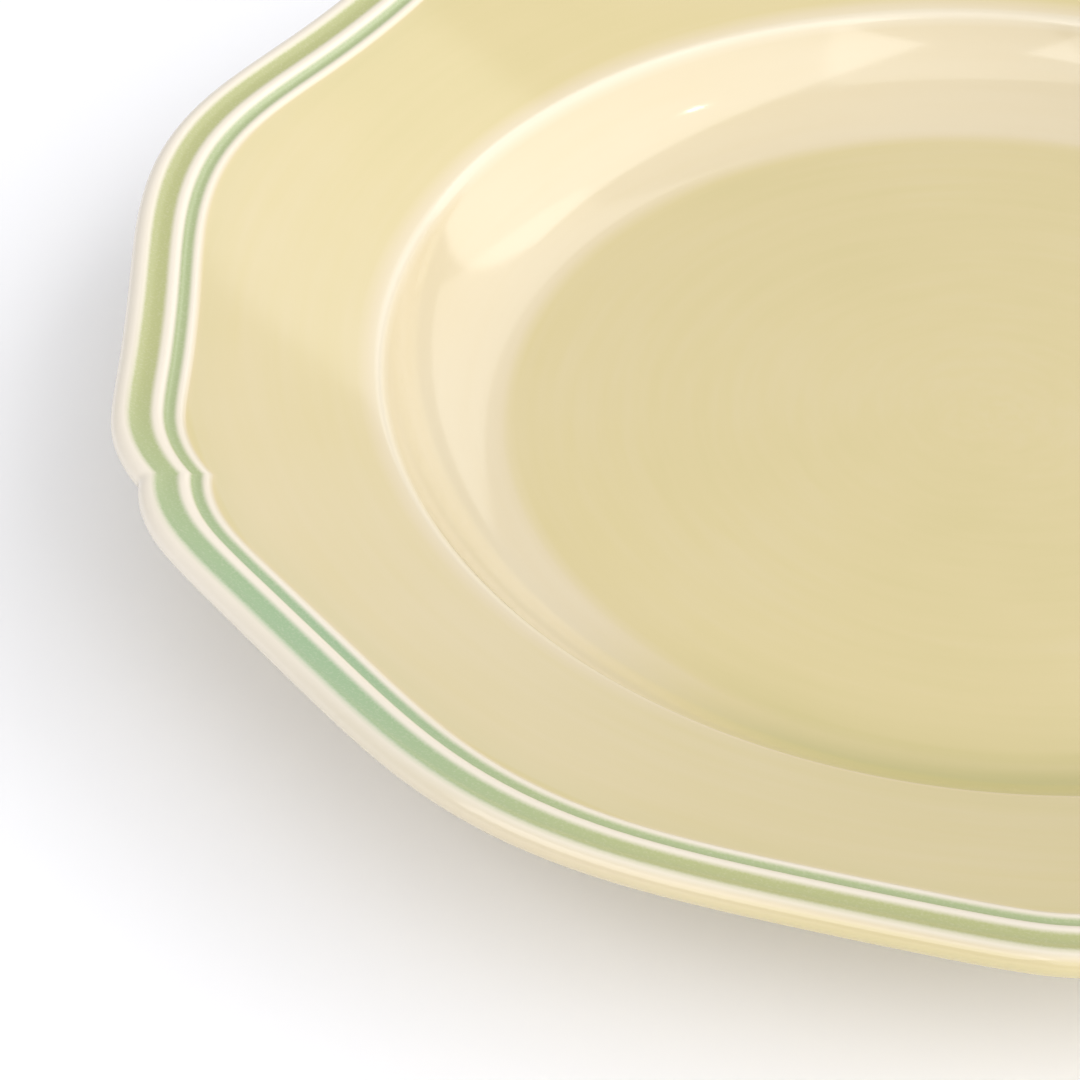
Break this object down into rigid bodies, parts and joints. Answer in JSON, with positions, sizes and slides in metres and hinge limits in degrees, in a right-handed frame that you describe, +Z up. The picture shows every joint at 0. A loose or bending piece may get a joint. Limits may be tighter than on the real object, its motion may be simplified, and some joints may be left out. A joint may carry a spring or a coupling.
{
  "type": "dinner plate",
  "caption": "Round china dinner plate with a shallow well, a sloping lobed rim with notches, raised beads and pooled green glaze inside its lip, and a bare foot ring underneath.",
  "frame": {"origin": "on the resting plane, at the middle of the foot ring", "axes": "+Z up out of the well; a notch of the rim lies on +Y and a plain corner on -Y, so the plate mirrors across the YZ plane"},
  "size_m": [0.2558, 0.2612, 0.0327],
  "materials": {
    "bare_bisque": "matt",
    "green_glaze": "gloss",
    "base_glaze": "gloss"
  },
  "bodies": {
    "root": {"bisque_body": "bare_bisque", "face_glaze": "green_glaze", "base_glaze": "base_glaze"}
  },
  "joints": []
}
